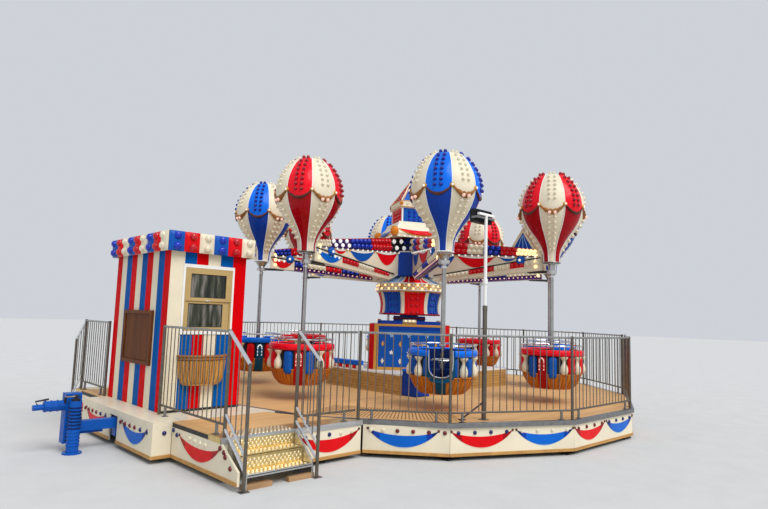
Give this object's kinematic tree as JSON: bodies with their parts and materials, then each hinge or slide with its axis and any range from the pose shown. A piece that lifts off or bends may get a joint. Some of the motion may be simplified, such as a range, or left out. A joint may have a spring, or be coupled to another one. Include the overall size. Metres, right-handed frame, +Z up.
{
  "type": "hot air balloon fairground ride",
  "caption": "Trailer-mounted roundabout with spinning balloon gondolas on sweep arms, a fenced platform, a pay booth and stairs.",
  "frame": {"origin": "on the spin axis at ground level, on the centre foot's underside", "axes": "+X along the trailer from drawbar to tail, +Z up, -Y the entrance side"},
  "size_m": [10.4458, 7.9554, 4.5],
  "materials": {
    "dark_steel": "dull black paint on steel",
    "deck_board": "worn ribbed deck board",
    "cream_paint": "satin cream paint with painted swags",
    "blue_paint": "gloss blue paint",
    "deep_blue_paint": "gloss deep blue paint",
    "red_paint": "gloss red paint",
    "white_paint": "white paint",
    "gold_paint": "gold and cream paint",
    "striped_paint": "red, cream and blue painted stripes",
    "wood": "brown stained wood",
    "tread_plate": "yellow tread plate with raised dots",
    "galvanised_steel": "galvanised tube",
    "bright_steel": "bright steel"
  },
  "bodies": {
    "platform": {"chassis": "dark_steel", "platform_deck": "deck_board", "trailer_deck": "cream_paint", "near_skirt": "cream_paint", "tail_skirt": "cream_paint", "far_skirt": "cream_paint", "drawbar_end_skirt": "cream_paint", "drawbar": "blue_paint", "centre_plinth": "wood", "near_step_box": "blue_paint", "tail_step_box": "blue_paint", "centre_housing": "blue_paint", "mast": "bright_steel", "booth_front_wall": "striped_paint", "booth_back_wall": "striped_paint", "booth_left_wall": "striped_paint", "booth_right_wall": "striped_paint", "booth_door": "blue_paint", "booth_roof": "striped_paint", "booth_window": "gold_paint", "booth_basket": "wood", "booth_board": "wood", "near_fence": "galvanised_steel", "tail_fence": "galvanised_steel", "far_fence": "galvanised_steel", "near_floodlight": "white_paint", "far_floodlight": "white_paint", "entrance_deck": "deck_board", "entrance_skirt": "cream_paint", "entrance_stairs": "tread_plate", "entrance_left_fence": "galvanised_steel", "entrance_right_fence": "galvanised_steel", "exit_deck": "deck_board", "exit_skirt": "cream_paint", "exit_stairs": "tread_plate", "exit_left_fence": "galvanised_steel", "exit_right_fence": "galvanised_steel"},
    "lift": {"lift_sleeve": "deep_blue_paint"},
    "rotor": {"sweep_arms": "cream_paint", "striped_crown": "red_paint", "lamp_ring": "gold_paint", "top_dish": "cream_paint", "tower_drum": "blue_paint", "tower_cone": "red_paint"},
    "balloon_0": {"balloon_0_gondola": "blue_paint", "balloon_0_envelope": "blue_paint"},
    "balloon_1": {"balloon_1_gondola": "red_paint", "balloon_1_envelope": "red_paint"},
    "balloon_2": {"balloon_2_gondola": "blue_paint", "balloon_2_envelope": "blue_paint"},
    "balloon_3": {"balloon_3_gondola": "red_paint", "balloon_3_envelope": "red_paint"},
    "balloon_4": {"balloon_4_gondola": "blue_paint", "balloon_4_envelope": "blue_paint"},
    "balloon_5": {"balloon_5_gondola": "red_paint", "balloon_5_envelope": "red_paint"},
    "balloon_6": {"balloon_6_gondola": "blue_paint", "balloon_6_envelope": "blue_paint"},
    "balloon_7": {"balloon_7_gondola": "red_paint", "balloon_7_envelope": "red_paint"}
  },
  "joints": [
    {"name": "mast_lift", "type": "slide", "parent": "platform", "child": "lift", "axis": [0, 0, 1], "range_m": [0, 0.8]},
    {"name": "rotor_spin", "type": "hinge", "parent": "lift", "child": "rotor", "pos_m": [0, 0, 2.585], "axis": [0, 0, 1], "continuous": true},
    {"name": "balloon_0_spin", "type": "hinge", "parent": "rotor", "child": "balloon_0", "pos_m": [-1.69908, -2.31301, 2.64], "axis": [0, 0, 1], "continuous": true},
    {"name": "balloon_1_spin", "type": "hinge", "parent": "rotor", "child": "balloon_1", "pos_m": [0.43412, -2.83698, 2.64], "axis": [0, 0, 1], "continuous": true},
    {"name": "balloon_2_spin", "type": "hinge", "parent": "rotor", "child": "balloon_2", "pos_m": [2.31301, -1.69908, 2.64], "axis": [0, 0, 1], "continuous": true},
    {"name": "balloon_3_spin", "type": "hinge", "parent": "rotor", "child": "balloon_3", "pos_m": [2.83698, 0.43412, 2.64], "axis": [0, 0, 1], "continuous": true},
    {"name": "balloon_4_spin", "type": "hinge", "parent": "rotor", "child": "balloon_4", "pos_m": [1.69908, 2.31301, 2.64], "axis": [0, 0, 1], "continuous": true},
    {"name": "balloon_5_spin", "type": "hinge", "parent": "rotor", "child": "balloon_5", "pos_m": [-0.43412, 2.83698, 2.64], "axis": [0, 0, 1], "continuous": true},
    {"name": "balloon_6_spin", "type": "hinge", "parent": "rotor", "child": "balloon_6", "pos_m": [-2.31301, 1.69908, 2.64], "axis": [0, 0, 1], "continuous": true},
    {"name": "balloon_7_spin", "type": "hinge", "parent": "rotor", "child": "balloon_7", "pos_m": [-2.83698, -0.43412, 2.64], "axis": [0, 0, 1], "continuous": true}
  ]
}
